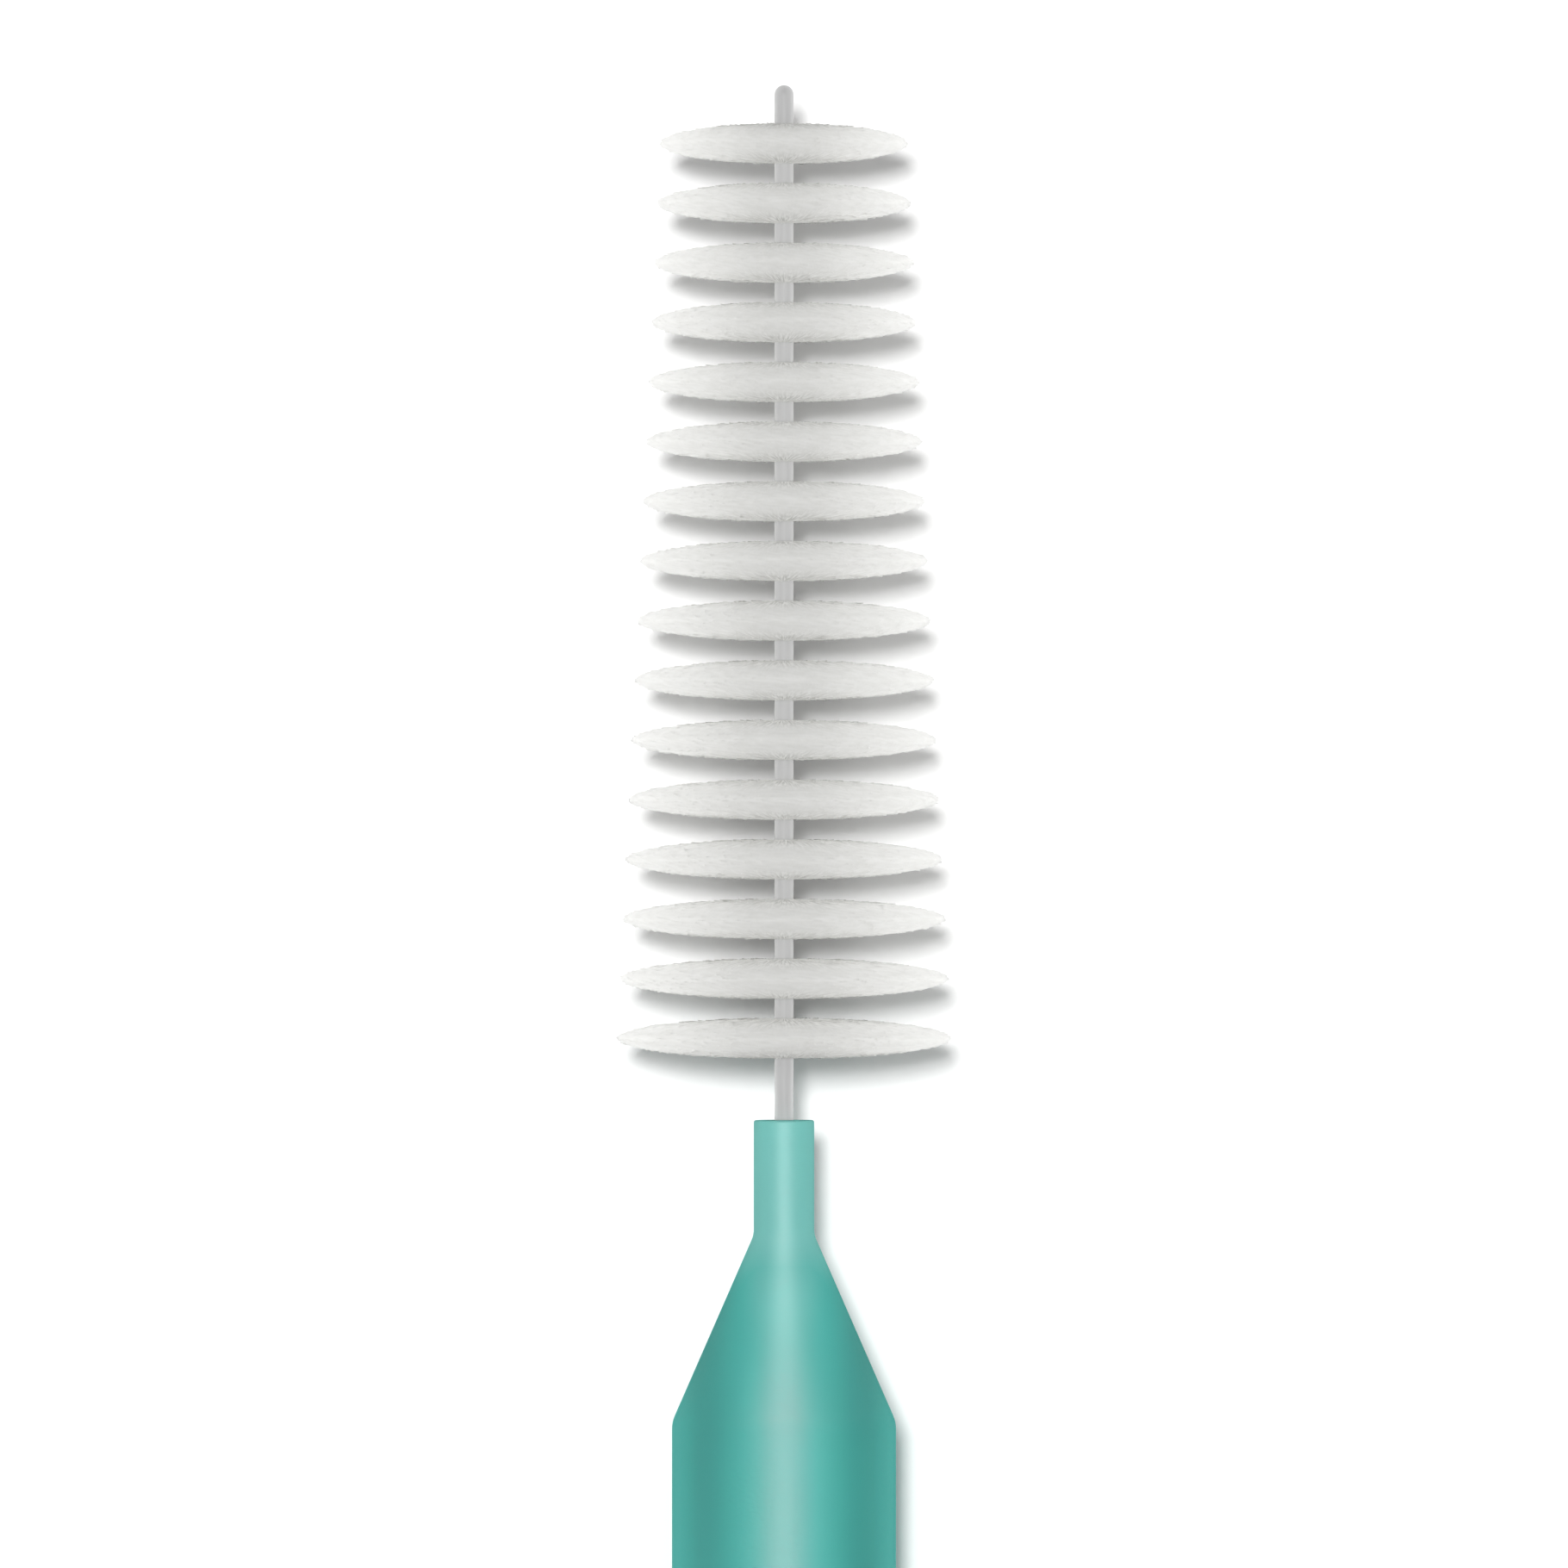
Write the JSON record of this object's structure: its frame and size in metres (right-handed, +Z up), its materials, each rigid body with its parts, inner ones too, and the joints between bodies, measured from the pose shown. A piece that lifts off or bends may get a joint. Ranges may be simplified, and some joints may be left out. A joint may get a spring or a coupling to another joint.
{
  "type": "interdental brush",
  "caption": "Slim tapered bristle head on a thin coated wire, moulded into a teal handle with a cone, a cap seat and a flat-sided grip, for cleaning between teeth.",
  "frame": {"origin": "on the surface that the brush lies on, under the middle of its length", "axes": "+Y along the brush from the handle's tail towards the bristle tip, +Z up out of the grip's upper flat, +X to the right seen from above"},
  "size_m": [0.0076, 0.067, 0.0064],
  "materials": {
    "handle_plastic": "satin moulded polypropylene",
    "wire_steel": "bright drawn stainless steel",
    "coating_plastic": "smooth matt plastic coating",
    "bristle_nylon": "soft translucent nylon filament"
  },
  "bodies": {
    "handle": {"handle": "handle_plastic"},
    "brush_head": {"core_wire": "wire_steel", "wire_coating": "coating_plastic", "bristle_tier_01": "bristle_nylon", "bristle_tier_02": "bristle_nylon", "bristle_tier_03": "bristle_nylon", "bristle_tier_04": "bristle_nylon", "bristle_tier_05": "bristle_nylon", "bristle_tier_06": "bristle_nylon", "bristle_tier_07": "bristle_nylon", "bristle_tier_08": "bristle_nylon", "bristle_tier_09": "bristle_nylon", "bristle_tier_10": "bristle_nylon", "bristle_tier_11": "bristle_nylon", "bristle_tier_12": "bristle_nylon", "bristle_tier_13": "bristle_nylon", "bristle_tier_14": "bristle_nylon", "bristle_tier_15": "bristle_nylon", "bristle_tier_16": "bristle_nylon"}
  },
  "joints": [
    {"name": "neck_flex", "type": "hinge", "parent": "handle", "child": "brush_head", "pos_m": [0, 0.01561, 0.0032], "axis": [0, 0, 1], "range_deg": [-60, 60], "deforming": ["core_wire", "wire_coating"]}
  ]
}
